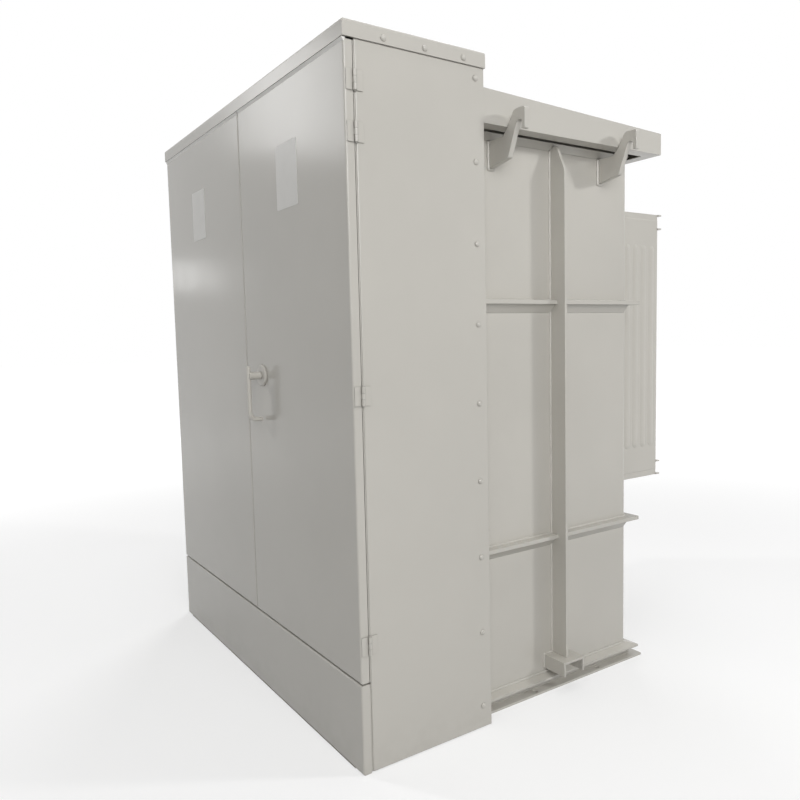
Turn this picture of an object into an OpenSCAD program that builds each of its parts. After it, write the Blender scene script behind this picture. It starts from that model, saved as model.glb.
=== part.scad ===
// Cabinet-type oil transformer on a flat base: terminal cabinet, tank behind it, radiators at the back.
// The front faces -Y, +Z is up, and the origin is on the floor under the middle of the whole unit.

/* [Cabinet] */
// Width across the side panels
cab_w = 1470; // [1200:10:2000]
// Door face to the back edge of the side panels
cab_d = 446; // [350:1:700]
// Floor to the underside of the roof's lip
cab_h = 1900; // [1700:10:2300]
// Sheet thickness of doors, panels and roof
sheet = 3; // [2:0.5:4]
// Depth of the folds round the doors and the kick panel
fold = 25; // [20:1:40]
// Outer radius of the folds
fold_r = 5; // [4.5:0.5:8]
// Width of the seams round the doors
seam = 5; // [5:0.5:10]
// Floor to the middle of the seam under the doors
kick_h = 250; // [150:5:400]
// Width of the right-hand door, side face to centre seam
right_door_w = 694; // [560:1:760]
// Height of the side panel's lower edge above the floor
panel_lift = 3; // [1:1:20]
// Height of the channel behind the top of the doors
channel_h = 105; // [80:1:140]
// Depth of that channel
channel_d = 40; // [30:1:60]
// Width of the stiffening channels inside the doors
stiff_w = 50; // [30:1:80]
// Depth of those channels
stiff_d = 18; // [10:1:22]
// Distance between the ends of those channels and the door's folds
stiff_in = 30; // [15:1:60]

/* [Roof] */
// Height of the roof's folded lip
roof_lip = 43; // [25:1:80]
// How far the roof stands out past the doors and sides
roof_over = 5; // [4:1:30]
// Outer radius of the roof's folds
roof_r = 7; // [5:0.5:15]

/* [Tank] */
// How far the tank wall lies inside the cabinet's side
tank_in = 85; // [60:1:120]
// Back of the cabinet to the tank's rear wall
tank_d = 709; // [600:1:1100]
// Wall thickness of the tank
tank_t = 6; // [4:1:12]
// Outer radius of the tank's folded corners
tank_r = 14; // [13:1:40]
// Distance between the tank's oil level and the lid's lower edge
oil_drop = 40; // [10:1:200]
// Thickness of the plate between cabinet and tank
front_t = 8; // [6:1:16]
// Width of the front plate's side flanges
flange_w = 60; // [50:1:90]
// Underside of the roof's lip down to the front of the lid's top
lid_drop = 49; // [20:1:200]
// Height of the lid's skirt at its front
lid_h = 96; // [90:1:140]
// How far the lid's top falls towards the back
lid_fall = 26; // [0:1:40]
// How far the lid stands out past the rear wall
lid_back = 71; // [50:1:120]
// Width of the lid's inturned lower edge
lid_turn = 45; // [20:1:55]
// Thickness of that edge
lid_edge = 3; // [2:0.5:6]
// Gap between the tank's upper edge and the underside of the lid
lid_gap = 0.1; // [0.1:0.1:0.5]
// Height of the rim strip below the lid
rim_h = 20; // [16:1:30]
// How far the rim strip's upper edge stands out
rim_out = 20; // [12:1:28]
// Thickness of the rim bar on the rear wall
rim_t = 5; // [3:1:10]

/* [Base] */
// Height of the base rails at the tank wall
rail_h = 47; // [44:1:80]
// How far the floor flange stands out from the tank wall
rail_out = 39; // [36:1:70]
// How far the upper flange stands out from the tank wall
rail_brow = 32; // [24:1:35]
// Thickness of the floor flange, web and upper flange
rail_t = 7; // [5:1:10]
// Height of the upper flange's outer edge
rail_lip = 38; // [34:1:42]
// Radius of the anchor holes in the floor flange
anchor_r = 8; // [5:0.5:11]
// Anchor hole centre to the flange's outer edge
anchor_in = 15; // [14:1:18]
// Back of the cabinet to the first anchor hole
anchor_y = 240; // [100:1:300]
// Distance between the anchor holes of one rail
anchor_gap = 293; // [150:1:400]

/* [Stiffeners] */
// How far the two belts stand out from the tank
belt_out = 32; // [20:1:40]
// Thickness of the belts
belt_t = 12; // [8:1:16]
// Height of the sloping strip under each belt
belt_leg = 27; // [16:1:40]
// How far that strip's upper edge stands out
belt_brow = 22; // [14:1:30]
// Floor to the underside of the lower belt
belt_low = 498; // [400:1:700]
// Rim bar down to the underside of the upper belt
belt_drop = 479; // [300:1:600]
// How far the upright ribs stand out from the tank
rib_out = 64; // [45:1:80]
// Thickness of the upright ribs
rib_t = 10; // [6:1:16]
// Back of the cabinet to the middle of the ribs
rib_y = 345; // [325:1:375]
// Length of the taper at the top of the ribs
rib_taper = 70; // [40:1:120]
// How far the ribs stand out at their top
rib_nose = 32; // [28:1:44]
// How far the ribs reach up over the rim strip
rib_lap = 10; // [4:1:12]

/* [Lifting] */
// Thickness of the lifting hooks
hook_t = 17; // [10:1:24]
// Back of the cabinet to the middle of the front hooks
hook_front = 96; // [60:1:140]
// Back of the cabinet to the middle of the rear hooks
hook_rear = 571; // [480:1:600]
// Height of the hook's weld on the tank wall
hook_weld = 79; // [72:1:90]
// How far the hook rises past the rim bar's lower edge
hook_rise = 62; // [58:1:72]
// Cabinet's side to the top of the hook's slot
hook_in = 38; // [36:1:48]
// Width of each hook's slot at its top
hook_slot = 21; // [16:1:26]
// Width of the hook's tip outside the slot
hook_tip = 12; // [9:1:16]
// Height of plate over the slot
hook_crown = 33; // [24:1:36]

/* [Jacking] */
// Width and depth of the jacking pads
pad_w = 91; // [80:1:110]
// Height of the jacking pads
pad_h = 46; // [35:1:60]
// Plate thickness of the jacking pads
pad_t = 7; // [5:1:10]
// Gap between the base rail and the jacking pads
pad_lift = 14; // [8:1:30]
// Back of the cabinet to the middle of the jacking pads
pad_y = 349; // [340:1:360]

/* [Radiators] */
// Distance between fins
fin_pitch = 45; // [40:1:60]
// Outer face of the end fin to the cabinet's side
fin_in = 190; // [150:1:230]
// Least gap between the two banks
bank_gap = 150; // [100:1:300]
// Depth of the fins
fin_d = 251; // [240:1:400]
// Floor to the lower edge of the fins
fin_z = 605; // [560:1:700]
// Lid's lower edge down to the top of the fins
fin_drop = 153; // [100:1:260]
// Rear wall of the tank to the fins
fin_gap = 61; // [60:1:90]
// Thickness of a fin at its welded upper and lower edges
fin_edge = 4; // [2:0.5:5]
// Thickness of a fin between its channels
fin_field = 6; // [6:0.5:8]
// Thickness of a fin over its pressed channels
fin_t = 14; // [11:0.5:20]
// Height of the welded upper and lower edges
fin_rim = 20; // [12:1:24]
// Number of pressed channels across a fin
flute_count = 5; // [3:1:5]
// Distance between the channels
flute_pitch = 45; // [41:1:50]
// Width of a channel at its root
flute_w = 39; // [30:1:40]
// Fin's upper or lower edge to the ends of the channels
flute_z = 112; // [105:1:200]
// Outer radius of the header pipes
header_r = 38; // [32:1:40]
// Fin's upper or lower edge to the middle of the header pipes
header_z = 62; // [60:1:66]
// How far the header pipes stand out past the end fins
header_cap = 10; // [4:1:20]
// Outer radius of the stubs between tank and header pipes
stub_r = 30; // [20:1:31]
// End fin to the middle of a stub
stub_in = 70; // [50:1:90]
// How far the tie bars stand out behind the fins
tie_out = 18; // [10:1:30]
// Thickness of the tie bars
tie_t = 5; // [3:1:8]
// Distance between the two tie bars of a pair
tie_gap = 50; // [30:1:80]

/* [Hinges] */
// Height of a hinge
hinge_h = 50; // [40:1:80]
// Width of a hinge leaf
leaf_w = 18; // [14:1:18]
// Thickness of a hinge leaf
leaf_t = 3; // [2:0.5:4]
// Gap between a leaf and the knuckles
leaf_gap = 1; // [0.5:0.5:1.5]
// Radius of the hinge knuckles
knuckle_r = 5; // [4.5:0.5:6]
// Gap between neighbouring knuckles
knuckle_gap = 0.5; // [0.3:0.1:1]
// Radius of the hinge pins
pin_r = 2.5; // [2:0.5:3]
// Radial play between pin and knuckle
pin_play = 0.05; // [0.01:0.01:0.1]
// How far a pin stands out at each end
pin_out = 2; // [1:1:4]
// Door's upper edge to the middle of the top hinge
hinge_1 = 95; // [70:1:110]
// Door's upper edge to the middle of the second hinge
hinge_2 = 220; // [200:1:320]
// Door's lower edge to the middle of the third hinge
hinge_3 = 762; // [600:1:900]
// Door's lower edge to the middle of the bottom hinge
hinge_4 = 101; // [70:1:200]

/* [Handle] */
// Centre seam to the middle of the handle
handle_x = 124; // [80:1:160]
// Floor to the handle's pivot
handle_z = 1052; // [900:1:1200]
// Radius of the round rose on the door
rose_r = 34; // [28:1:45]
// Thickness of the rose
rose_t = 8; // [6:1:14]
// Width of the rose's bevel
rose_bevel = 3; // [1:1:5]
// Radius of the shaft that stands out of the rose
shaft_r = 12; // [9:0.5:16]
// Gap between the shaft's foot and the door
shaft_gap = 0.3; // [0.2:0.1:1]
// Door face to the middle of the hanging rod
rod_out = 48; // [40:1:70]
// Radius of the hanging rod
rod_r = 7; // [5:0.5:8]
// Height of the rod's head above the pivot
rod_up = 24; // [16:1:40]
// Pivot to the lowest bend of the rod
rod_down = 138; // [110:1:180]
// Radius of the bend at the foot of the rod
bend_r = 22; // [14:1:28]
// Gap between the rod's end and the door
rod_gap = 8; // [6:1:12]

/* [Hidden] */
$fn = 48;

paint = [0.72, 0.71, 0.67];
paint_dark = [0.62, 0.61, 0.57];
// How far a cutting shape reaches past what it cuts
past = 1;

// Reach in front of and behind the door face, which centres the whole unit on the origin
front_reach = rod_out + rod_r;
rear_reach = cab_d + tank_d + fin_gap + fin_d + tie_out;
y_door = (front_reach - rear_reach) / 2;
y_panel = y_door + fold + seam;
y_back = y_door + cab_d;
y_rear = y_back + tank_d;
y_fin = y_rear + fin_gap;
x_side = cab_w / 2;
x_wall = x_side - tank_in;
x_seam = x_side - right_door_w;

door_low = kick_h + seam / 2;
door_high = cab_h - seam;
roof_low = cab_h + roof_lip - sheet;
plate_top = roof_low - roof_r;
lid_z = cab_h - lid_drop;
lid_low = lid_z - lid_h;
rim_low = lid_low - rim_h;
pad_top = rail_h + pad_lift + pad_h;

x_bank = x_side - fin_in;
fin_h = lid_low - fin_drop - fin_z;
fin_count = floor((x_bank - fin_t - bank_gap / 2) / fin_pitch) + 1;
x_last = x_bank - fin_t - (fin_count - 1) * fin_pitch;
header_zs = [fin_z + header_z, fin_z + fin_h - header_z];

hinge_zs = [door_high - hinge_1, door_high - hinge_2, door_low + hinge_3, door_low + hinge_4];
knuckle_h = hinge_h / 3;
axis_x = x_side + knuckle_r + 0.2;
axis_y = y_door + fold + seam / 2;
x_handle = x_seam + handle_x;

// Underside of the lid's top, from its rear skirt forward, in Y and Z
lid_inside = tank_d + lid_back - tank_t;
lid_slope = lid_fall / (tank_d + lid_back);
lid_under = [
  [y_back + lid_inside, lid_z - tank_t - lid_slope * lid_inside],
  [y_back - past, lid_z - tank_t + lid_slope * past]
];

// A copy on the other side of the unit
module both() {
  children();
  mirror([1, 0, 0]) children();
}

// Outline in X and Z, given a thickness from y on
module upright_xz(y, t) {
  translate([0, y + t, 0]) rotate([90, 0, 0]) linear_extrude(t) children();
}

// Outline in Y and Z, given a thickness from x on
module upright_yz(x, t) {
  translate([x, 0, 0]) rotate([90, 0, 90]) linear_extrude(t) children();
}

// Points of an arc from angle a to angle b
function arc(centre, r, a, b, steps = 8) = [
  for (i = [0 : steps]) let (turn = a + (b - a) * i / steps) centre + r * [cos(turn), sin(turn)]
];

// Rectangle with its two upper corners rounded
module rounded_top(w, h, r) {
  square([w, h - r]);
  translate([r, 0]) square([w - 2 * r, h]);
  for (x = [r, w - r]) translate([x, h - r]) circle(r);
}

// Block with the four edges of its upper face rounded
module rounded_block(w, d, h, r) {
  intersection() {
    upright_xz(0, d) rounded_top(w, h, r);
    upright_yz(0, w) rounded_top(d, h, r);
  }
}

// Sheet folded down on all four edges, open below
module folded_pan(w, d, h, r) {
  difference() {
    rounded_block(w, d, h, r);
    translate([sheet, sheet, -past])
      rounded_block(w - 2 * sheet, d - 2 * sheet, h - sheet + past, r - sheet);
  }
}

// Base frame

// Section of a base rail: u runs outwards from the tank wall
module rail_section() {
  drop = (rail_h - rail_lip) * rail_t / rail_brow;
  polygon([
    [-tank_t, 0], [rail_out, 0], [rail_out, rail_t], [rail_t, rail_t],
    [rail_t, rail_h - drop - rail_t], [rail_brow, rail_lip - rail_t],
    [rail_brow, rail_lip], [0, rail_h], [-tank_t, rail_h]
  ]);
}

// Everything on one side of the mitre at the rear corner: 0 is behind it, -1 is outside it
module mitre(side) {
  reach = 2 * rail_out;
  translate([x_wall, y_rear, -past]) rotate([0, 0, 45])
    translate([-reach, side * reach, 0]) cube([2 * reach, reach, rail_h + 2 * past]);
}

module base_rail() {
  color(paint) difference() {
    translate([x_wall, y_rear + rail_out, 0]) rotate([90, 0, 0])
      linear_extrude(tank_d + rail_out) rail_section();
    mitre(0);
    for (k = [0, 1])
      translate([x_wall + rail_out - anchor_in, y_back + anchor_y + k * anchor_gap, -past])
        cylinder(h = rail_t + 2 * past, r = anchor_r);
  }
}

module base_rail_right() { base_rail(); }

module base_rail_left() { mirror([1, 0, 0]) base_rail(); }

module base_rail_rear() {
  span = 2 * (x_wall + rail_out);
  color(paint) difference() {
    translate([-span / 2, y_rear, 0]) rotate([90, 0, 90]) linear_extrude(span) rail_section();
    both() mitre(-1);
  }
}

// Tank

// Outline of the tank seen from above, drawn in by t, from y0 back
module tank_outline(t, y0) {
  x = x_wall - tank_r;
  y = y_rear - tank_r;
  translate([t - x_wall, y0]) square([2 * (x_wall - t), y - y0]);
  translate([-x, y0]) square([2 * x, y_rear - t - y0]);
  both() translate([x, y]) circle(tank_r - t);
}

module tank_floor() {
  color(paint) translate([0, 0, rail_h]) linear_extrude(tank_t) tank_outline(0, y_back);
}

// U-shaped wrap of plate with folded rear corners, cut to the slope of the lid
module tank_shell() {
  low = rail_h + tank_t;
  color(paint) intersection() {
    translate([0, 0, low]) linear_extrude(lid_z - low) difference() {
      tank_outline(0, y_back);
      tank_outline(tank_t, y_back - past);
    }
    upright_yz(-x_wall, 2 * x_wall) polygon([
      [y_back - past, low], [y_back + lid_inside, low],
      lid_under[0] - [0, lid_gap], lid_under[1] - [0, lid_gap]
    ]);
  }
}

// Core, coils and oil as one plain block that stands on the tank's floor
module tank_filling() {
  low = rail_h + tank_t;
  play = 0.5;
  color([0.66, 0.52, 0.26]) translate([0, 0, low]) linear_extrude(lid_low - oil_drop - low)
    tank_outline(tank_t + play, y_back + play);
}

// Plate that carries the cabinet, with flanges folded forward inside the side panels
module tank_front_plate() {
  w = cab_w - 2 * sheet;
  h = plate_top - panel_lift;
  color(paint) translate([-w / 2, y_back - flange_w, panel_lift]) difference() {
    cube([w, flange_w, h]);
    translate([front_t, -past, -past]) cube([w - 2 * front_t, flange_w + past - front_t, h + 2 * past]);
  }
}

// Flat bar round three sides of the tank, out wide, h high and z above the floor
module wrap(out, z, h) {
  translate([0, 0, z]) linear_extrude(h) difference() {
    translate([-x_wall - out, y_back]) square([2 * (x_wall + out), tank_d + out]);
    tank_outline(0, y_back - past);
  }
}

// Strip on both side walls whose face slopes from the wall, at z, out to its upper edge
module sloping_strip(z, h, out) {
  d = tank_d - tank_r;
  both() upright_xz(y_back, d) translate([x_wall, z]) polygon([[0, 0], [out, h], [0, h]]);
}

// Sloping strips on the side walls and a flat bar on the rear wall
module tank_rim() {
  w = 2 * (x_wall - tank_r);
  color(paint) {
    sloping_strip(rim_low, rim_h, rim_out);
    translate([-w / 2, y_rear, rim_low]) cube([w, rim_t, rim_h]);
  }
}

// Pan-shaped lid, flush with the cabinet: its top falls towards the back, its lower edge is turned in
module tank_lid() {
  d = tank_d + lid_back;
  color(paint) difference() {
    upright_yz(-x_side, cab_w) polygon([
      [y_back, lid_low], [y_back + d, lid_low], [y_back + d, lid_z - lid_fall], [y_back, lid_z]
    ]);
    upright_yz(tank_t - x_side, cab_w - 2 * tank_t) polygon([
      [y_back - past, lid_low + lid_edge], [y_back + lid_inside, lid_low + lid_edge],
      lid_under[0], lid_under[1]
    ]);
    translate([lid_turn - x_side, y_back - past, lid_low - past])
      cube([cab_w - 2 * lid_turn, d + past - lid_turn, lid_edge + 2 * past]);
  }
}

// Stiffeners

// Belt round the tank with a sloping strip under it, both cut where the ribs cross
module belt(z) {
  color(paint) difference() {
    union() {
      wrap(belt_out, z, belt_t);
      sloping_strip(z - belt_leg, belt_leg, belt_brow);
    }
    both() translate([x_wall, y_back + rib_y - rib_t / 2, z - belt_leg - past])
      cube([belt_out + past, rib_t, belt_leg + belt_t + 2 * past]);
  }
}

module belt_lower() { belt(belt_low); }

module belt_upper() { belt(rim_low - belt_drop); }

// Upright flat bar from the jacking pad to the rim strip, tapered at its top to a round nose
module rib() {
  nose_r = 7;
  top = rim_low + rib_lap;
  color(paint) upright_xz(y_back + rib_y - rib_t / 2, rib_t) translate([x_wall, 0]) polygon(concat(
    [[0, pad_top], [rib_out, pad_top], [rib_out, rim_low - rib_taper]],
    arc([rib_nose - nose_r, top - nose_r], nose_r, 24, 90),
    [[rib_lap * rim_out / rim_h, top], [0, rim_low]]
  ));
}

module rib_right() { rib(); }

module rib_left() { mirror([1, 0, 0]) rib(); }

// Lifting hooks

// Crook-shaped plate: its arm leans out past the lid, and its tip hangs down outside a slot open below
module hook(y) {
  gap = 2;
  elbow_r = 10;
  mouth_r = 6;
  brow_r = 7;
  shoulder_r = 16;
  slot_top = hook_rise - hook_crown - mouth_r;
  slot_out = hook_in + hook_slot;
  reach = slot_out + hook_tip;
  color(paint) upright_xz(y_back + y - hook_t / 2, hook_t) translate([x_side, rim_low]) polygon(concat(
    [[-tank_in, -gap - hook_weld]],
    arc([hook_in - 44, -gap - hook_weld + 24], elbow_r, -80, -21),
    arc([hook_in + mouth_r, slot_top], mouth_r, 159, 90),
    arc([slot_out - mouth_r, slot_top], mouth_r, 90, 0),
    [[slot_out, gap], [reach, gap]],
    arc([reach - brow_r, hook_rise - brow_r], brow_r, 0, 90),
    arc([hook_in - 2, hook_rise - shoulder_r], shoulder_r, 90, 149),
    [[1, rim_h - 1], [-rim_h, -gap], [-tank_in, -gap]]
  ));
}

module hook_front_right() { hook(hook_front); }

module hook_rear_right() { hook(hook_rear); }

module hook_front_left() { mirror([1, 0, 0]) hook(hook_front); }

module hook_rear_left() { mirror([1, 0, 0]) hook(hook_rear); }

// Upside-down U of plate, open below and to the side, for a jack's head
module jack_pad() {
  color(paint) translate([x_wall, y_back + pad_y - pad_w / 2, pad_top - pad_h]) difference() {
    cube([pad_w, pad_w, pad_h]);
    translate([-past, pad_t, -past]) cube([pad_w + 2 * past, pad_w - 2 * pad_t, pad_h - pad_t + past]);
  }
}

module jack_pad_right() { jack_pad(); }

module jack_pad_left() { mirror([1, 0, 0]) jack_pad(); }

// Radiators

// Round bar with ball ends, from a to b
module capsule(r, a, b) {
  translate([0, 0, a]) cylinder(h = b - a, r = r);
  for (z = [a, b]) translate([0, 0, z]) sphere(r);
}

// Pressed channel through the middle of a fin: a lens from above, round at both ends
module flute() {
  bulge = fin_t / 2;
  r = (flute_w * flute_w / 4 + bulge * bulge) / (2 * bulge);
  a = flute_z + flute_w / 2;
  intersection() {
    translate([bulge - r, 0, 0]) capsule(r, a, fin_h - a);
    translate([r - bulge, 0, 0]) capsule(r, a, fin_h - a);
  }
}

// One fin: two sheets welded along their edges, with pressed channels between them
module fin() {
  a = fin_edge / 2;
  b = fin_field / 2;
  slope = 4;
  half = [
    [a, 0], [a, fin_rim], [b, fin_rim + slope],
    [b, fin_h - fin_rim - slope], [a, fin_h - fin_rim], [a, fin_h]
  ];
  upright_xz(0, fin_d) polygon(concat(half, [for (k = [len(half) - 1 : -1 : 0]) [-half[k][0], half[k][1]]]));
  for (k = [0 : flute_count - 1])
    translate([0, fin_d / 2 + (k - (flute_count - 1) / 2) * flute_pitch, 0]) flute();
}

// Header pipe along the front edges of the fins
module header_pipe(z) {
  translate([x_last - header_cap, y_fin, z]) rotate([0, 90, 0])
    cylinder(h = x_bank - x_last + 2 * header_cap, r = header_r);
}

// A bank of fins, notched where the header pipes run
module radiator_fins() {
  color(paint) for (k = [0 : fin_count - 1]) difference() {
    translate([x_bank - fin_t / 2 - k * fin_pitch, y_fin, fin_z]) fin();
    for (z = header_zs) header_pipe(z);
  }
}

// Header pipes with their stubs to the tank, and the tie bars across the back of the fins
module radiator_frame() {
  color(paint) {
    for (z = header_zs) {
      header_pipe(z);
      for (x = [x_bank - stub_in, x_last + stub_in])
        translate([x, y_rear, z]) rotate([-90, 0, 0]) cylinder(h = fin_gap, r = stub_r);
    }
    for (z = [fin_z, fin_z + tie_gap, fin_z + fin_h - tie_gap - tie_t, fin_z + fin_h - tie_t])
      translate([x_last, y_fin + fin_d, z]) cube([x_bank - x_last, tie_out, tie_t]);
  }
}

module radiator_fins_right() { radiator_fins(); }

module radiator_fins_left() { mirror([1, 0, 0]) radiator_fins(); }

module radiator_frame_right() { radiator_frame(); }

module radiator_frame_left() { mirror([1, 0, 0]) radiator_frame(); }

// Cabinet

// Side sheet with a fold inwards along its front and top edges, notched at its upper rear corner
module side_panel() {
  d = y_back - y_panel;
  h = roof_low - panel_lift;
  color(paint) difference() {
    intersection() {
      translate([x_side - fold, y_panel, roof_low]) rotate([0, 90, 0])
        folded_pan(h + fold, d + fold, fold, fold_r);
      translate([x_side - fold, y_panel, panel_lift]) cube([fold, d, h]);
    }
    translate([x_side - fold - past, y_back - front_t, plate_top])
      cube([fold + 2 * past, front_t + past, roof_low - plate_top + past]);
  }
}

module side_panel_right() { side_panel(); }

module side_panel_left() { mirror([1, 0, 0]) side_panel(); }

module roof_cap() {
  w = cab_w + 2 * roof_over;
  color(paint) translate([-w / 2, y_door - roof_over, cab_h])
    folded_pan(w, cab_d + roof_over + sheet, roof_lip, roof_r);
}

// Folded sheet in the plane of the doors, from x0 to x1 and from z0 to z1
module front_pan(x0, x1, z0, z1) {
  translate([x0, y_door + fold, z0]) rotate([90, 0, 0]) folded_pan(x1 - x0, z1 - z0, fold, fold_r);
}

// Fixed sheet below the doors, with straps that meet the folds of the side panels
module kick_panel() {
  top = kick_h - seam / 2;
  color(paint_dark) {
    front_pan(-x_side, x_side, 0, top);
    both() translate([x_side - 2 * sheet, y_door + sheet, panel_lift])
      cube([sheet, fold + seam - sheet, top - panel_lift - sheet]);
  }
}

// Channel behind the top of the doors, between the side panels
module door_header() {
  w = cab_w - 2 * fold;
  color(paint) translate([-w / 2, y_panel, roof_low - channel_h]) difference() {
    cube([w, channel_d, channel_h]);
    translate([-past, sheet, sheet]) cube([w + 2 * past, channel_d, channel_h - 2 * sheet]);
  }
}

// Door pan from x0 to x1 with two stiffening channels inside
module door(x0, x1) {
  h = door_high - door_low;
  w = x1 - x0 - 2 * (sheet + stiff_in);
  color(paint_dark) {
    front_pan(x0, x1, door_low, door_high);
    for (share = [1 / 3, 2 / 3])
      translate([x0 + sheet + stiff_in, y_door + sheet, door_low + share * h - stiff_w / 2]) difference() {
        cube([w, stiff_d, stiff_w]);
        translate([-past, -past, sheet]) cube([w + 2 * past, stiff_d + past - sheet, stiff_w - 2 * sheet]);
      }
  }
}

module door_right() { door(x_seam + seam / 2, x_side); }

module door_left() { door(-x_side, x_seam - seam / 2); }

// Hinges: leaf on the door's fold with the middle knuckle, leaf on the side panel with the pin

module door_leaves() {
  h = knuckle_h - 2 * knuckle_gap;
  edge = knuckle_r + leaf_gap;
  color(paint_dark) for (z = hinge_zs) translate([0, 0, z]) difference() {
    union() {
      translate([x_side, axis_y - edge - leaf_w, -hinge_h / 2]) cube([leaf_t, leaf_w, hinge_h]);
      translate([x_side, axis_y - edge - leaf_gap, -h / 2]) cube([leaf_t, edge + leaf_gap, h]);
      translate([axis_x, axis_y, -h / 2]) cylinder(h = h, r = knuckle_r);
    }
    translate([axis_x, axis_y, -hinge_h]) cylinder(h = 2 * hinge_h, r = pin_r + pin_play);
  }
}

module frame_leaves() {
  edge = knuckle_r + leaf_gap;
  color(paint) for (z = hinge_zs) translate([0, 0, z]) {
    translate([x_side, axis_y + edge, -hinge_h / 2]) cube([leaf_t, leaf_w, hinge_h]);
    for (s = [-1, 1]) translate([0, 0, s * knuckle_h - knuckle_h / 2]) {
      translate([x_side, axis_y, 0]) cube([leaf_t, edge + leaf_gap, knuckle_h]);
      translate([axis_x, axis_y, 0]) cylinder(h = knuckle_h, r = knuckle_r);
    }
    translate([axis_x, axis_y, -hinge_h / 2 - pin_out]) cylinder(h = hinge_h + 2 * pin_out, r = pin_r);
  }
}

module hinge_leaves_right() { door_leaves(); }

module hinge_leaves_left() { mirror([1, 0, 0]) door_leaves(); }

module hinge_pins_right() { frame_leaves(); }

module hinge_pins_left() { mirror([1, 0, 0]) frame_leaves(); }

// Door handle

module handle_rose() {
  flat = rose_t - rose_bevel;
  color(paint) translate([x_handle, y_door, handle_z]) rotate([90, 0, 0]) difference() {
    union() {
      cylinder(h = flat, r = rose_r);
      translate([0, 0, flat]) cylinder(h = rose_bevel, r1 = rose_r, r2 = rose_r - rose_bevel);
    }
    translate([0, 0, -past]) cylinder(h = rose_t + 2 * past, r = shaft_r + pin_play);
  }
}

// Shaft out of the door, and a rod that hangs from its end and bends back to the door at its foot
module door_handle() {
  color(paint) translate([x_handle, y_door, handle_z]) {
    translate([0, -shaft_gap, 0]) rotate([90, 0, 0]) cylinder(h = rod_out - shaft_gap, r = shaft_r);
    translate([0, -rod_out, bend_r - rod_down]) cylinder(h = rod_down - bend_r + rod_up, r = rod_r);
    translate([0, -rod_out, rod_up]) sphere(rod_r);
    translate([0, bend_r - rod_out, bend_r - rod_down]) rotate([0, 90, 0]) rotate([0, 0, -90])
      rotate_extrude(angle = 90) translate([bend_r, 0]) circle(rod_r);
    translate([0, bend_r - rod_out, -rod_down]) rotate([-90, 0, 0])
      cylinder(h = rod_out - bend_r - rod_gap, r = rod_r);
  }
}

base_rail_right();
base_rail_left();
base_rail_rear();
tank_floor();
tank_shell();
tank_filling();
tank_front_plate();
tank_rim();
tank_lid();
belt_lower();
belt_upper();
rib_right();
rib_left();
hook_front_right();
hook_rear_right();
hook_front_left();
hook_rear_left();
jack_pad_right();
jack_pad_left();
radiator_fins_right();
radiator_fins_left();
radiator_frame_right();
radiator_frame_left();
side_panel_right();
side_panel_left();
roof_cap();
kick_panel();
door_header();
door_right();
door_left();
hinge_leaves_right();
hinge_leaves_left();
hinge_pins_right();
hinge_pins_left();
handle_rose();
door_handle();
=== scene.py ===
# Looks of a cabinet-type oil transformer: paint, weld beads, bolts, foam strips, floor, light and camera.
import math

import bmesh
import bpy
from mathutils import Matrix, Vector


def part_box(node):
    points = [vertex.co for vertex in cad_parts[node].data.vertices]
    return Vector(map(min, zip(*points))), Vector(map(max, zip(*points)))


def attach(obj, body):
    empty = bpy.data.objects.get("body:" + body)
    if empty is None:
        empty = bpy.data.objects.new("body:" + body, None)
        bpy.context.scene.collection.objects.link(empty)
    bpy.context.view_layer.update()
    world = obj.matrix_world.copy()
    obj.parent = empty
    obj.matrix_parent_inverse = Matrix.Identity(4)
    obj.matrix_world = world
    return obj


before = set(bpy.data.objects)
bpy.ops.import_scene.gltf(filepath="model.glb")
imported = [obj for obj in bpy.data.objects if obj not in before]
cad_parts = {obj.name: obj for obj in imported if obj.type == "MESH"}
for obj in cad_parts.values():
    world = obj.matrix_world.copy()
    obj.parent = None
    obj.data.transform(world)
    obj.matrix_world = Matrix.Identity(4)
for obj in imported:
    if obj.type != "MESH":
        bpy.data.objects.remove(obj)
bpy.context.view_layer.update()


# Base rails
# Three open rails of 7 mm plate carry the tank: a drilled floor flange, a web and a sloping upper flange.
# They are sprayed with the tank in one satin warm grey, and dust and dried splashes settle on them.

TANK_GREY = (0.51, 0.492, 0.45, 1.0)
RUBBED_AND_HIGHLIT_GREY = (0.62, 0.605, 0.565, 1.0)
DUST_COLOUR = (0.50, 0.47, 0.41, 1.0)
# The grime colour is real grime on the paint, and also painted shade on the floor under the unit.
GRIME_AND_SHADE_COLOUR = (0.27, 0.245, 0.205, 1.0)
CREVICE_SHADE_COLOUR = (0.09, 0.08, 0.065, 1.0)
MILLIMETRE = 0.001


def put(tree, kind, inputs=None, **settings):
    """Adds a node to a tree; an input is a number, a colour or the socket that feeds it."""
    node = tree.nodes.new(kind)
    for name, value in settings.items():
        setattr(node, name, value)
    for name, value in (inputs or {}).items():
        if isinstance(value, bpy.types.NodeSocket):
            tree.links.new(value, node.inputs[name])
        else:
            node.inputs[name].default_value = value
    return node


def new_tree(name, kind, inputs, outputs):
    """An empty node group with named sockets, given as name: (type, default) and name: type."""
    tree = bpy.data.node_groups.new(name, kind)
    for label, (socket, default) in inputs.items():
        made = tree.interface.new_socket(label, in_out="INPUT", socket_type=socket)
        if default is not None:
            made.default_value = default
    for label, socket in outputs.items():
        tree.interface.new_socket(label, in_out="OUTPUT", socket_type=socket)
    return tree, tree.nodes.new("NodeGroupInput").outputs, tree.nodes.new("NodeGroupOutput").inputs


def math_of(tree, operation, a, b):
    """The result of one sum on two values."""
    return put(tree, "ShaderNodeMath", {0: a, 1: b}, operation=operation).outputs[0]


def over(tree, under, colour, mask):
    """A colour laid over another where the mask is 1."""
    return put(tree, "ShaderNodeMix", {"Factor": mask, 6: under, 7: colour}, data_type="RGBA").outputs[2]


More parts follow.
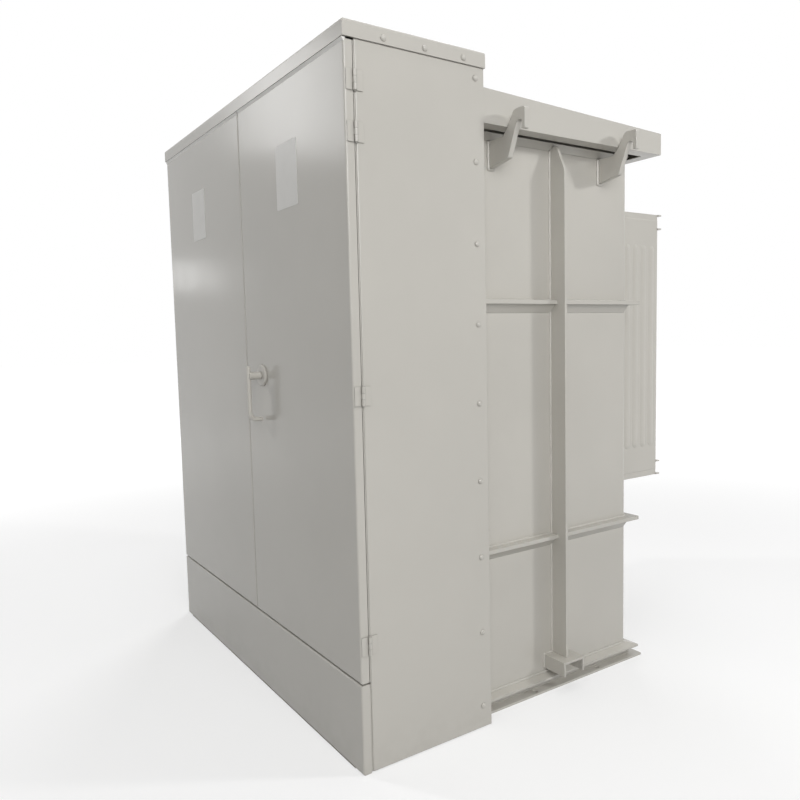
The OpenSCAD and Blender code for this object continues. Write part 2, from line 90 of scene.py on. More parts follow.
def ramp(tree, value, low, high, start=0.0, end=1.0):
    """A value's way from low to high, as a smooth run from start to end."""
    run = {"Value": value, "From Min": low, "From Max": high, "To Min": start, "To Max": end}
    return put(tree, "ShaderNodeMapRange", run, interpolation_type="SMOOTHSTEP").outputs["Result"]


def cloud(tree, scale, detail=2.0):
    """Soft noise from 0 to 1 in the piece's own coordinates, with so many cells a metre."""
    place = put(tree, "ShaderNodeTexCoord").outputs["Object"]
    return put(tree, "ShaderNodeTexNoise", {"Vector": place, "Scale": scale, "Detail": detail}).outputs[0]


def paint_relief():
    """Height in millimetres of sprayed paint: orange peel, on plate that isn't quite flat."""
    tree, given, result = new_tree(
        "paint relief", "ShaderNodeTree",
        {"Peel": ("NodeSocketFloat", 0.02), "Waves": ("NodeSocketFloat", 0.5)},
        {"Height": "NodeSocketFloat"})
    peel = math_of(tree, "MULTIPLY", cloud(tree, scale=420.0), given["Peel"])
    waves = math_of(tree, "MULTIPLY", cloud(tree, scale=3.2, detail=1.0), given["Waves"])
    tree.links.new(math_of(tree, "ADD", peel, waves), result["Height"])
    return tree


def worked_edges():
    """Rounded normals at plate edges, and a mask along them where the paint is rubbed thin and lightened as a
    painted edge highlight.
    """
    tree, given, result = new_tree(
        "worked edges", "ShaderNodeTree",
        {"Radius": ("NodeSocketFloat", 0.0015)},
        {"Normal": "NodeSocketVector", "Rubbed and highlit": "NodeSocketFloat"})
    rounded = put(tree, "ShaderNodeBevel", {"Radius": given["Radius"]}, samples=4).outputs["Normal"]
    flat = put(tree, "ShaderNodeNewGeometry").outputs["True Normal"]
    same = put(tree, "ShaderNodeVectorMath", {0: rounded, 1: flat}, operation="DOT_PRODUCT").outputs["Value"]
    broken = ramp(tree, cloud(tree, scale=38.0, detail=4.0), 0.44, 0.60)
    tree.links.new(rounded, result["Normal"])
    tree.links.new(math_of(tree, "MULTIPLY", ramp(tree, same, 0.995, 0.90), broken), result["Rubbed and highlit"])
    return tree


def settled_dust():
    """Mask of the dust on faces that look up."""
    tree, given, result = new_tree(
        "settled dust", "ShaderNodeTree",
        {"Amount": ("NodeSocketFloat", 0.3)},
        {"Mask": "NodeSocketFloat"})
    facing = put(tree, "ShaderNodeNewGeometry").outputs["Normal"]
    up = ramp(tree, put(tree, "ShaderNodeSeparateXYZ", {0: facing}).outputs["Z"], 0.35, 0.95)
    patches = ramp(tree, cloud(tree, scale=7.0, detail=5.0), 0.30, 0.72)
    lying = math_of(tree, "MULTIPLY", up, patches)
    tree.links.new(math_of(tree, "MULTIPLY", lying, given["Amount"]), result["Mask"])
    return tree


def floor_grime():
    """Mask of the splashes that dry on whatever stands close to the ground."""
    tree, given, result = new_tree(
        "floor grime", "ShaderNodeTree",
        {"Reach": ("NodeSocketFloat", 0.16), "Amount": ("NodeSocketFloat", 0.08)},
        {"Mask": "NodeSocketFloat"})
    place = put(tree, "ShaderNodeTexCoord").outputs["Object"]
    height = put(tree, "ShaderNodeSeparateXYZ", {0: place}).outputs["Z"]
    low = ramp(tree, height, 0.0, given["Reach"], start=1.0, end=0.0)
    splashed = math_of(tree, "MULTIPLY", low, ramp(tree, cloud(tree, scale=22.0, detail=5.0), 0.36, 0.70))
    tree.links.new(math_of(tree, "MULTIPLY", splashed, given["Amount"]), result["Mask"])
    return tree


def painted_crevice_shade():
    """Mask of painted shade in narrow corners beside welds, leaves and seams, deepest where ambient occlusion
    is.
    """
    tree, given, result = new_tree(
        "painted crevice shade", "ShaderNodeTree",
        {"Reach": ("NodeSocketFloat", 0.006), "Amount": ("NodeSocketFloat", 0.6)},
        {"Mask": "NodeSocketFloat"})
    open_sky = put(tree, "ShaderNodeAmbientOcclusion", {"Distance": given["Reach"]}, samples=4).outputs["AO"]
    deep = ramp(tree, open_sky, 0.85, 0.40)
    tree.links.new(math_of(tree, "MULTIPLY", deep, given["Amount"]), result["Mask"])
    return tree


RELIEF = paint_relief()
EDGES = worked_edges()
DUST = settled_dust()
GRIME = floor_grime()
CREVICE_SHADE = painted_crevice_shade()
TONE_DRIFT = 0.03
ROUGH_DRIFT = 0.012
DUST_DULLING = 0.06


def painted_steel(name, peel=0.02, waves=0.5, rough=0.24, dust=0.15, rubbed_and_highlit=0.45, edge=0.0015, shade_in_crevices=0.6):
    """Satin paint on steel, with unevenness, rubbed edges partly lightened as a painted highlight, dust,
    grime, and painted shade in crevices.
    """
    material = bpy.data.materials.new(name)
    material.use_nodes = True
    tree = material.node_tree
    shader = tree.nodes["Principled BSDF"]
    relief = put(tree, "ShaderNodeGroup", node_tree=RELIEF)
    relief.inputs["Peel"].default_value = peel
    relief.inputs["Waves"].default_value = waves
    edges = put(tree, "ShaderNodeGroup", node_tree=EDGES)
    edges.inputs["Radius"].default_value = edge
    dusty = put(tree, "ShaderNodeGroup", node_tree=DUST)
    dusty.inputs["Amount"].default_value = dust
    grimy = put(tree, "ShaderNodeGroup", node_tree=GRIME)
    shaded_crevices = put(tree, "ShaderNodeGroup", node_tree=CREVICE_SHADE)
    shaded_crevices.inputs["Amount"].default_value = shade_in_crevices

    lighter = tuple(part * (1.0 + TONE_DRIFT) for part in TANK_GREY[:3]) + (1.0,)
    darker = tuple(part * (1.0 - TONE_DRIFT) for part in TANK_GREY[:3]) + (1.0,)
    paint = over(tree, darker, lighter, ramp(tree, cloud(tree, scale=1.7, detail=3.0), 0.3, 0.7))
    # Lighter grey along edges: rubbed paint, and partly a painted edge highlight.
    paint = over(tree, paint, RUBBED_AND_HIGHLIT_GREY, math_of(tree, "MULTIPLY", edges.outputs["Rubbed and highlit"], rubbed_and_highlit))
    paint = over(tree, paint, DUST_COLOUR, dusty.outputs["Mask"])
    paint = over(tree, paint, GRIME_AND_SHADE_COLOUR, grimy.outputs["Mask"])
    # Painted shade: the crevice mask darkens narrow corners towards near black.
    paint = over(tree, paint, CREVICE_SHADE_COLOUR, shaded_crevices.outputs["Mask"])
    tree.links.new(paint, shader.inputs["Base Color"])
    blotches = cloud(tree, scale=11.0, detail=3.0)
    blotched = ramp(tree, blotches, 0.25, 0.75, rough - ROUGH_DRIFT, rough + ROUGH_DRIFT)
    dulled = math_of(tree, "MULTIPLY", dusty.outputs["Mask"], DUST_DULLING)
    tree.links.new(math_of(tree, "ADD", blotched, dulled), shader.inputs["Roughness"])
    surface = {"Height": relief.outputs["Height"], "Normal": edges.outputs["Normal"]}
    bump = put(tree, "ShaderNodeBump", {"Distance": MILLIMETRE, "Strength": 1.0, **surface})
    tree.links.new(bump.outputs["Normal"], shader.inputs["Normal"])
    return material


def dress(material, *names):
    """Gives CAD nodes their finish."""
    for name in names:
        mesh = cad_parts[name].data
        mesh.materials.clear()
        mesh.materials.append(material)


RAIL_PAINT = painted_steel("rail paint", peel=0.03, waves=0.3, dust=0.3, rubbed_and_highlit=0.7, shade_in_crevices=0.15)
dress(RAIL_PAINT, "base_rail_right", "base_rail_left", "base_rail_rear")


# Tank
# A U-shaped wrap of 6 mm plate with folded rear corners stands on a floor plate, and an 8 mm plate closes
# its front. The core, the coils and the oil fill it. The plate is heavy, so it shows little waviness.

PLATE_PAINT = painted_steel("tank plate paint", peel=0.028, waves=0.35, shade_in_crevices=0.2)
dress(PLATE_PAINT, "tank_floor", "tank_shell", "tank_front_plate")

DARK_BOARD = (0.20, 0.12, 0.05, 1.0)
PALE_BOARD = (0.32, 0.20, 0.08, 1.0)


def pressboard(name):
    """Oil-soaked board and paper round the coils."""
    material = bpy.data.materials.new(name)
    material.use_nodes = True
    tree = material.node_tree
    shader = tree.nodes["Principled BSDF"]
    place = put(tree, "ShaderNodeTexCoord").outputs["Object"]
    sheets = {"Vector": place, "Scale": 60.0, "Distortion": 1.5, "Detail": 3.0}
    layers = put(tree, "ShaderNodeTexWave", sheets, bands_direction="Z").outputs["Fac"]
    tree.links.new(over(tree, DARK_BOARD, PALE_BOARD, layers), shader.inputs["Base Color"])
    shader.inputs["Roughness"].default_value = 0.25
    bump = put(tree, "ShaderNodeBump", {"Distance": MILLIMETRE, "Height": layers})
    tree.links.new(bump.outputs["Normal"], shader.inputs["Normal"])
    return material


dress(pressboard("oiled pressboard"), "tank_filling")

WELD_RADIUS = 0.0048
RIPPLE = 0.0055
STEP_IN_RIPPLES = 0.34
CREST_HEIGHT = 0.16
TROUGH_HEIGHT = 0.86


def weld_tree():
    """Weld bead along the edges of a mesh: a round run with the ripples that the arc leaves."""
    tree, given, result = new_tree(
        "weld run", "GeometryNodeTree",
        {"Seams": ("NodeSocketGeometry", None), "Radius": ("NodeSocketFloat", WELD_RADIUS),
         "Ripple": ("NodeSocketFloat", RIPPLE), "Unevenness": ("NodeSocketFloat", 0.28),
         "Paint": ("NodeSocketMaterial", None)},
        {"Bead": "NodeSocketGeometry"})
    line = put(tree, "GeometryNodeMeshToCurve", {"Mesh": given["Seams"]}).outputs["Curve"]
    step = math_of(tree, "MULTIPLY", given["Ripple"], STEP_IN_RIPPLES)
    even = put(tree, "GeometryNodeResampleCurve", {"Curve": line, "Length": step}, mode="LENGTH")
    along = put(tree, "GeometryNodeSplineParameter").outputs["Length"]
    turn = math_of(tree, "MULTIPLY", math_of(tree, "DIVIDE", along, given["Ripple"]), math.pi)
    crest = math_of(tree, "ABSOLUTE", math_of(tree, "SINE", turn, 0.0), 0.0)
    place = put(tree, "GeometryNodeInputPosition").outputs["Position"]
    wander = put(tree, "ShaderNodeTexNoise", {"Vector": place, "Scale": 45.0, "Detail": 2.0}).outputs[0]
    uneven = math_of(tree, "MULTIPLY", math_of(tree, "SUBTRACT", wander, 0.5), given["Unevenness"])
    ripples = math_of(tree, "MULTIPLY", crest, CREST_HEIGHT)
    swell = math_of(tree, "ADD", ripples, math_of(tree, "ADD", uneven, TROUGH_HEIGHT))
    swollen = put(tree, "GeometryNodeSetCurveRadius", {"Curve": even.outputs["Curve"], "Radius": swell})
    ring = put(tree, "GeometryNodeCurvePrimitiveCircle", {"Resolution": 7, "Radius": given["Radius"]})
    radius = put(tree, "GeometryNodeInputNamedAttribute", {"Name": "radius"}, data_type="FLOAT")
    bead = put(tree, "GeometryNodeCurveToMesh", {
        "Curve": swollen.outputs["Curve"], "Profile Curve": ring.outputs["Curve"],
        "Scale": radius.outputs["Attribute"], "Fill Caps": True}).outputs["Mesh"]
    smooth = put(tree, "GeometryNodeSetShadeSmooth", {"Geometry": bead, "Shade Smooth": True})
    real = put(tree, "GeometryNodeRealizeInstances", {"Geometry": smooth.outputs["Geometry"]})
    painted = put(tree, "GeometryNodeSetMaterial", {
        "Geometry": real.outputs["Geometry"], "Material": given["Paint"]})
    tree.links.new(painted.outputs["Geometry"], result["Bead"])
    return tree


def grow(name, tree, mesh, body, inputs):
    """Runs a node tree on a mesh, and keeps what it makes as one plain mesh that rides on a body."""
    piece = bpy.data.objects.new(name, mesh)
    bpy.context.scene.collection.objects.link(piece)
    modifier = piece.modifiers.new(tree.name, "NODES")
    modifier.node_group = tree
    for socket in tree.interface.items_tree:
        if socket.in_out == "INPUT" and socket.name in inputs:
            modifier[socket.identifier] = inputs[socket.name]
    shown = piece.evaluated_get(bpy.context.evaluated_depsgraph_get())
    made = bpy.data.meshes.new_from_object(shown)
    piece.modifiers.remove(modifier)
    piece.data = made
    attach(piece, body)
    return piece


def seam_mesh(name, lines):
    """Lines of points as one mesh of edges."""
    points, edges = [], []
    for line in lines:
        first = len(points)
        points += line
        edges += [(first + k, first + k + 1) for k in range(len(line) - 1)]
    mesh = bpy.data.meshes.new(name)
    mesh.from_pydata(points, edges, [])
    return mesh


WELD = weld_tree()
TANK_CORNER = 0.014
wall_low, wall_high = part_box("tank_shell")
rail_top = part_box("tank_floor")[0].z


def round_the_tank(z, steps=6):
    """Points on the tank wall at one height, from the right front round the rear to the left front."""
    inner = wall_high.x - TANK_CORNER
    rear = wall_high.y - TANK_CORNER
    quarter = [math.pi / 2 * k / steps for k in range(steps + 1)]
    right = [(inner + TANK_CORNER * math.cos(a), rear + TANK_CORNER * math.sin(a), z) for a in quarter]
    left = [(-x, y, z) for x, y, z in reversed(right)]
    return [(wall_high.x, wall_low.y, z)] + right + left + [(-wall_high.x, wall_low.y, z)]


def upright(x, y, low, high):
    """An upright line on both sides of the unit."""
    return [[(side * x, y, low), (side * x, y, high)] for side in (1, -1)]


lid_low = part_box("tank_lid")[0].z
tank_seams = [round_the_tank(rail_top)] + upright(wall_high.x, wall_low.y, rail_top, lid_low)
grow("tank_welds", WELD, seam_mesh("tank_seams", tank_seams), "root", {"Paint": PLATE_PAINT})


# Lid and rim
# The lid is a folded pan whose tall skirt is flush with the cabinet and turned in at its lower edge.
# Strips that slope inwards are welded along the tank's side walls below it, and a flat bar along its rear.

LID_PAINT = painted_steel("lid paint", peel=0.024, waves=0.5, dust=0.3)
dress(LID_PAINT, "tank_lid", "tank_rim")


# Belts and ribs
# Two flat bars run round the tank. On the sides, a sloping strip lies under them and a rib crosses them.
# They keep the flat walls from bulging. Rippled fillet welds run along their tops and up both sides of a rib.

BELT_THICK = 0.012
BELTS = ("belt_lower", "belt_upper")
dress(PLATE_PAINT, *BELTS, "rib_right", "rib_left")
stiffener_seams = []
for name in BELTS:
    low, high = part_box(name)
    rear_low = high.z - BELT_THICK
    across = wall_high.x - TANK_CORNER
    stiffener_seams.append(round_the_tank(high.z))
    stiffener_seams.append([(-across, wall_high.y, rear_low), (across, wall_high.y, rear_low)])
rib_low, rib_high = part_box("rib_right")
rim_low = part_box("tank_rim")[0].z
for edge in (rib_low.y, rib_high.y):
    stiffener_seams += upright(wall_high.x, edge, rib_low.z, rim_low)
grow("stiffener_welds", WELD, seam_mesh("stiffener_seams", stiffener_seams), "root",
     {"Paint": PLATE_PAINT})


# Lifting hooks
# Four crooks burnt from 17 mm plate lean out past the lid, and slings hang in the slots below their tips.
# A heavy weld runs down both faces of each and round its foot. Slings rub the paint off their edges.

HOOK_PAINT = painted_steel("hook paint", peel=0.03, waves=0.1, dust=0.2, rubbed_and_highlit=0.8, edge=0.002)
HOOKS = ("hook_front_right", "hook_rear_right", "hook_front_left", "hook_rear_left")
HOOK_WELD_UP, HOOK_WELD_RADIUS = 0.079, 0.0065
dress(HOOK_PAINT, *HOOKS)
hook_seams = []
for name in HOOKS:
    low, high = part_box(name)
    wall = math.copysign(wall_high.x, low.x)
    top = low.z + HOOK_WELD_UP
    hook_seams.append([(wall, low.y, top), (wall, low.y, low.z), (wall, high.y, low.z), (wall, high.y, top)])
grow("hook_welds", WELD, seam_mesh("hook_seams", hook_seams), "root",
     {"Paint": HOOK_PAINT, "Radius": HOOK_WELD_RADIUS})


# Jacking pads
# An upside-down U of plate at the foot of each rib takes a jack's head.
# It is welded to the wall all round, and its paint wears as the rails' does.

dress(RAIL_PAINT, "jack_pad_right", "jack_pad_left")
pad_seams = []
for name in ("jack_pad_right", "jack_pad_left"):
    low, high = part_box(name)
    wall = math.copysign(wall_high.x, low.x)
    pad_seams.append([(wall, low.y, low.z), (wall, low.y, high.z),
                      (wall, high.y, high.z), (wall, high.y, low.z)])
grow("pad_welds", WELD, seam_mesh("pad_seams", pad_seams), "root", {"Paint": RAIL_PAINT})


# Radiators
# Each fin is two thin sheets, pressed with channels and welded along their edges, and oil runs between them.
# The fins hang on two header pipes, whose stubs are welded to the tank's rear wall. The paint is flow-coated.

FIN_PAINT = painted_steel("radiator paint", peel=0.012, waves=0.15, rough=0.34, rubbed_and_highlit=0.25, edge=0.001)
dress(FIN_PAINT, "radiator_fins_right", "radiator_fins_left", "radiator_frame_right", "radiator_frame_left")
STUB_RADIUS = 0.030
STUB_FROM_END, STUB_FROM_EDGE = 0.080, 0.062
frame_low, frame_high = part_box("radiator_frame_right")


def round_a_stub(x, z, steps=24):
    """Points round a stub where it meets the tank's rear wall."""
    turns = [2 * math.pi * k / steps for k in range(steps + 1)]
    return [(x + STUB_RADIUS * math.cos(a), wall_high.y, z + STUB_RADIUS * math.sin(a)) for a in turns]


stub_seams = [round_a_stub(side * x, z) for side in (1, -1)
              for x in (frame_low.x + STUB_FROM_END, frame_high.x - STUB_FROM_END)
              for z in (frame_low.z + STUB_FROM_EDGE, frame_high.z - STUB_FROM_EDGE)]
grow("stub_welds", WELD, seam_mesh("stub_seams", stub_seams), "root", {"Paint": FIN_PAINT})


# Cabinet
# Side sheets, a channel above the doors and a folded roof make the terminal compartment.
# Thin sheet never stays quite flat, so its reflections wander. Everything is sprayed like the tank.

SHEET_PAINT = painted_steel("cabinet paint", peel=0.010, waves=1.3, rough=0.18, shade_in_crevices=0.4)
dress(SHEET_PAINT, "side_panel_right", "side_panel_left", "roof_cap", "door_header")


# Bolts
# Plain domed heads that nobody can turn from outside hold the roof's lip and the side sheets' back edges.
# They are steel, tightened from inside, and sprayed over with the sheets.

HEAD_RADIUS = 0.0085
HEAD_HEIGHT = 0.0062


def bolt_tree():
    """A straight row of domed heads on the right-hand side, and the same row on the left."""
    tree, given, result = new_tree(
        "domed bolts", "GeometryNodeTree",
        {"Count": ("NodeSocketInt", 3), "First": ("NodeSocketVector", None),
         "Step": ("NodeSocketVector", None), "Radius": ("NodeSocketFloat", HEAD_RADIUS),
         "Height": ("NodeSocketFloat", HEAD_HEIGHT), "Paint": ("NodeSocketMaterial", None)},
        {"Heads": "NodeSocketGeometry"})
    ball = put(tree, "GeometryNodeMeshUVSphere", {"Segments": 20, "Rings": 12, "Radius": 1.0}).outputs["Mesh"]
    place = put(tree, "GeometryNodeInputPosition").outputs["Position"]
    part = put(tree, "ShaderNodeSeparateXYZ", {0: place}).outputs
    upper = math_of(tree, "MAXIMUM", part["Z"], 0.0)
    cut = put(tree, "ShaderNodeCombineXYZ", {"X": part["X"], "Y": part["Y"], "Z": upper}).outputs["Vector"]
    dome = put(tree, "GeometryNodeSetPosition", {"Geometry": ball, "Position": cut}).outputs["Geometry"]
    size = put(tree, "ShaderNodeCombineXYZ", {
        "X": given["Radius"], "Y": given["Radius"], "Z": given["Height"]}).outputs["Vector"]
    dome = put(tree, "GeometryNodeTransform", {"Geometry": dome, "Scale": size}).outputs["Geometry"]
    dome = put(tree, "GeometryNodeSetShadeSmooth", {"Geometry": dome, "Shade Smooth": True})
    row = put(tree, "GeometryNodeMeshLine", {
        "Count": given["Count"], "Start Location": given["First"], "Offset": given["Step"]}).outputs["Mesh"]
    mirrored = put(tree, "GeometryNodeTransform", {"Geometry": row, "Scale": (-1.0, 1.0, 1.0)})
    rows = put(tree, "GeometryNodeJoinGeometry")
    for each in (row, mirrored.outputs["Geometry"]):
        tree.links.new(each, rows.inputs["Geometry"])
    side = math_of(tree, "SIGN", part["X"], 0.0)
    turn = math_of(tree, "MULTIPLY", side, math.pi / 2)
    heads = put(tree, "GeometryNodeInstanceOnPoints", {
        "Points": rows.outputs["Geometry"], "Instance": dome.outputs["Geometry"],
        "Rotation": put(tree, "ShaderNodeCombineXYZ", {"Y": turn}).outputs["Vector"]}).outputs["Instances"]
    real = put(tree, "GeometryNodeRealizeInstances", {"Geometry": heads}).outputs["Geometry"]
    painted = put(tree, "GeometryNodeSetMaterial", {"Geometry": real, "Material": given["Paint"]})
    tree.links.new(painted.outputs["Geometry"], result["Heads"])
    return tree


BOLTS = bolt_tree()
cabinet_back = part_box("side_panel_right")[1].y
LIP_BOLT_BACK, LIP_BOLT_PITCH, LIP_BOLT_UP = 0.332, 0.129, 0.015
EDGE_BOLT_IN, EDGE_BOLT_PITCH, EDGE_BOLT_LOW = 0.030, 0.2252, 0.0679
roof_low, roof_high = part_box("roof_cap")
panel_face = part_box("side_panel_right")[1].x
HEAD_SINK = 0.0004
grow("roof_bolts", BOLTS, bpy.data.meshes.new("roof_bolts"), "root",
     {"Count": 3, "First": (roof_high.x - HEAD_SINK, cabinet_back - LIP_BOLT_BACK, roof_low.z + LIP_BOLT_UP),
      "Step": (0.0, LIP_BOLT_PITCH, 0.0), "Paint": SHEET_PAINT})
grow("panel_bolts", BOLTS, bpy.data.meshes.new("panel_bolts"), "root",
     {"Count": 9, "First": (panel_face - HEAD_SINK, cabinet_back - EDGE_BOLT_IN, EDGE_BOLT_LOW),
      "Step": (0.0, 0.0, EDGE_BOLT_PITCH), "Paint": SHEET_PAINT})


# Doors
# Two folded sheet pans with stiffening channels inside close the cabinet, above a fixed sheet.
# Their broad faces are a little wavier than the side sheets. They are painted with the rest.

DOOR_PAINT = painted_steel("door paint", peel=0.010, waves=1.6, rough=0.18, shade_in_crevices=0.4)
dress(DOOR_PAINT, "door_right", "door_left", "kick_panel")
door_low, door_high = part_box("door_right")


def solid(name, corners, direction, material, body, rounded=0.0):
    """A closed outline drawn out along a direction, with its edges rounded, that rides on a body."""
    shape = bmesh.new()
    base = shape.faces.new([shape.verts.new(corner) for corner in corners])
    drawn = bmesh.ops.extrude_face_region(shape, geom=[base])["geom"]
    far_end = [point for point in drawn if isinstance(point, bmesh.types.BMVert)]
    bmesh.ops.translate(shape, verts=far_end, vec=direction)
    bmesh.ops.recalc_face_normals(shape, faces=shape.faces)
    if rounded:
        bmesh.ops.bevel(shape, geom=shape.edges[:], offset=rounded, segments=3, profile=0.5, affect="EDGES")
    mesh = bpy.data.meshes.new(name)
    shape.to_mesh(mesh)
    shape.free()
    mesh.materials.append(material)
    piece = bpy.data.objects.new(name, mesh)
    bpy.context.scene.collection.objects.link(piece)
    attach(piece, body)
    return piece


# Edge strips
# Foam strips glued beside the doors' seams and sprayed over keep rain out. Each leaves a narrow gap.
# Pale foam wedges on top of the doors fill the step below the roof's lip.

STRIP_GAP, STRIP_SINK, STRIP_ROUND = 0.0006, 0.0008, 0.0004
COAT_ROUGH_DRIFT, COAT_WAVES = 0.03, 0.3


def pale_coat(name, darker, lighter, rough):
    """Pale coating or skin, faintly uneven."""
    material = bpy.data.materials.new(name)
    material.use_nodes = True
    tree = material.node_tree
    shader = tree.nodes["Principled BSDF"]
    tone = over(tree, darker, lighter, cloud(tree, scale=30.0, detail=3.0))
    tree.links.new(tone, shader.inputs["Base Color"])
    patches = cloud(tree, scale=60.0, detail=3.0)
    patchy = ramp(tree, patches, 0.3, 0.7, rough - COAT_ROUGH_DRIFT, rough + COAT_ROUGH_DRIFT)
    tree.links.new(patchy, shader.inputs["Roughness"])
    height = math_of(tree, "MULTIPLY", cloud(tree, scale=9.0, detail=1.0), COAT_WAVES)
    bump = put(tree, "ShaderNodeBump", {"Distance": MILLIMETRE, "Strength": 1.0, "Height": height})
    tree.links.new(bump.outputs["Normal"], shader.inputs["Normal"])
    return material


SIDE_STRIP_THICK, SIDE_STRIP_WIDE = 0.0026, 0.022
panel_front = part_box("side_panel_right")[0].y
outer = panel_face - STRIP_SINK
inner = outer - SIDE_STRIP_WIDE
face = panel_front - SIDE_STRIP_THICK
for side, name in ((1, "side_strip_right"), (-1, "side_strip_left")):
    places = [(inner, panel_front), (outer, panel_front), (outer, face), (inner, face)]
    solid(name, [(side * x, y, door_low.z) for x, y in places], (0, 0, door_high.z - door_low.z),
          SHEET_PAINT, "root", STRIP_ROUND)

TOP_STRIP_DROP, TOP_STRIP_DEEP = 0.0055, 0.006
PALE_SEAL = pale_coat("pale foam", (0.74, 0.73, 0.70, 1.0), (0.80, 0.79, 0.76, 1.0), 0.45)
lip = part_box("roof_cap")[0]
strip_top = lip.z - STRIP_GAP
strip_face = door_low.y + STRIP_ROUND
for name, body in (("right", "right_door"), ("left", "left_door")):
    low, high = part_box("door_" + name)
    places = [(strip_face, high.z - TOP_STRIP_DROP), (strip_face + TOP_STRIP_DEEP, high.z - TOP_STRIP_DROP),
              (strip_face + TOP_STRIP_DEEP, strip_top), (lip.y + STRIP_SINK, strip_top)]
    solid("top_strip_" + name, [(low.x + STRIP_ROUND, y, z) for y, z in places],
          (high.x - low.x - 2 * STRIP_ROUND, 0, 0), PALE_SEAL, body, STRIP_ROUND)

CENTRE_SINK = 0.002
seam_right, seam_left = door_low.x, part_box("door_left")[1].x
places = [(seam_left + STRIP_GAP, door_low.y + CENTRE_SINK), (seam_right, door_low.y + CENTRE_SINK),
          (seam_right, door_high.y), (seam_left + STRIP_GAP, door_high.y)]
solid("centre_strip", [(x, y, door_low.z + STRIP_ROUND) for x, y in places],
      (0, 0, door_high.z - door_low.z - 2 * STRIP_ROUND), DOOR_PAINT, "right_door", STRIP_ROUND)


# Blank plates
# Thin coated aluminium plates with rounded corners, glued to the upper part of each door.
# Nothing is printed on them.

PLATE_THICK, PLATE_CORNER = 0.0007, 0.006
PLATE_COATING = pale_coat("blank plate", (0.62, 0.61, 0.58, 1.0), (0.67, 0.66, 0.63, 1.0), 0.32)


def blank_plate(name, body, left, right, low, high, steps=6):
    """A plate with rounded corners on the face of a door."""
    corners = []
    for x, z, start in ((right, high, 0), (left, high, 1), (left, low, 2), (right, low, 3)):
        centre_x = x - math.copysign(PLATE_CORNER, x - (left + right) / 2)
        centre_z = z - math.copysign(PLATE_CORNER, z - (low + high) / 2)
        for k in range(steps + 1):
            turn = math.pi / 2 * (start + k / steps)
            corners.append((centre_x + PLATE_CORNER * math.cos(turn), door_low.y,
                            centre_z + PLATE_CORNER * math.sin(turn)))
    solid(name, corners, (0, -PLATE_THICK, 0), PLATE_COATING, body)


blank_plate("plate_right", "right_door", left=0.321, right=0.458, low=1.541, high=1.724)
blank_plate("plate_left", "left_door", left=-0.438, right=-0.305, low=1.542, high=1.720)


# Hinges
# Four small butt hinges hold each door, two of them near its top.
# Their leaves are welded on and painted over, and painted shade darkens their corners.

HINGE_PAINT = painted_steel("hinge paint", peel=0.02, waves=0.0, rubbed_and_highlit=0.9, edge=0.0008, shade_in_crevices=0.8)
dress(HINGE_PAINT, "hinge_leaves_right", "hinge_leaves_left", "hinge_pins_right", "hinge_pins_left")


# Handle
# A bent rod hangs from a shaft that turns in a round rose on the right-hand door.
# It is painted like the door, and hands rub it bare first.

HANDLE_PAINT = painted_steel("handle paint", peel=0.01, waves=0.0, rough=0.30, rubbed_and_highlit=0.8, edge=0.001)
dress(HANDLE_PAINT, "handle_rose", "door_handle")


# Floor
# A pale plain floor that fades to the white background and keeps the unit's shadow.
# The ground under the unit is painted dark as shade and not lifted, so that the anchor holes look deep.

FLOOR_SIZE = 80.0
FLOOR_PALE = (0.53, 0.53, 0.53, 1.0)
FLOOR_LIFT = 0.46
FADE_START, FADE_END = 2.0, 7.0
rail_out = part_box("base_rail_right")[1].x
front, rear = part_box("kick_panel")[0].y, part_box("base_rail_rear")[1].y


def seen_directly(tree):
    """1 for rays that come from the camera, a reflection or through glass."""
    rays = put(tree, "ShaderNodeLightPath").outputs
    mirrored = math_of(tree, "MAXIMUM", rays["Is Glossy Ray"], rays["Is Transmission Ray"])
    return math_of(tree, "MAXIMUM", rays["Is Camera Ray"], mirrored)


def floor_material():
    """Matt floor, lifted where it is looked at, up to white far from the unit; under the unit it is painted
    dark as shade and not lifted.
    """
    material = bpy.data.materials.new("pale floor")
    material.use_nodes = True
    tree = material.node_tree
    shader = tree.nodes["Principled BSDF"]
    shader.inputs["Roughness"].default_value = 0.9
    shader.inputs["Specular IOR Level"].default_value = 0.0
    shader.inputs["Emission Color"].default_value = (1.0, 1.0, 1.0, 1.0)
    place = put(tree, "ShaderNodeTexCoord").outputs["Object"]
    away = put(tree, "ShaderNodeVectorMath", {0: place}, operation="LENGTH").outputs["Value"]
    lift = ramp(tree, away, FADE_START, FADE_END, FLOOR_LIFT, 1.0)
    middle, reach = (0.0, (front + rear) / 2, 0.0), (rail_out, (rear - front) / 2, 1.0)
    off = put(tree, "ShaderNodeVectorMath", {0: place, 1: middle}, operation="SUBTRACT").outputs[0]
    off = put(tree, "ShaderNodeVectorMath", {0: off, 1: reach}, operation="DIVIDE").outputs[0]
    off = put(tree, "ShaderNodeVectorMath", {0: off}, operation="ABSOLUTE").outputs[0]
    off = put(tree, "ShaderNodeSeparateXYZ", {0: off}).outputs
    clear = math_of(tree, "GREATER_THAN", math_of(tree, "MAXIMUM", off["X"], off["Y"]), 1.0)
    # Under the unit the floor is painted dark as shade.
    tree.links.new(over(tree, GRIME_AND_SHADE_COLOUR, FLOOR_PALE, clear), shader.inputs["Base Color"])
    shown = math_of(tree, "MULTIPLY", seen_directly(tree), math_of(tree, "MULTIPLY", lift, clear))
    tree.links.new(shown, shader.inputs["Emission Strength"])
    return material


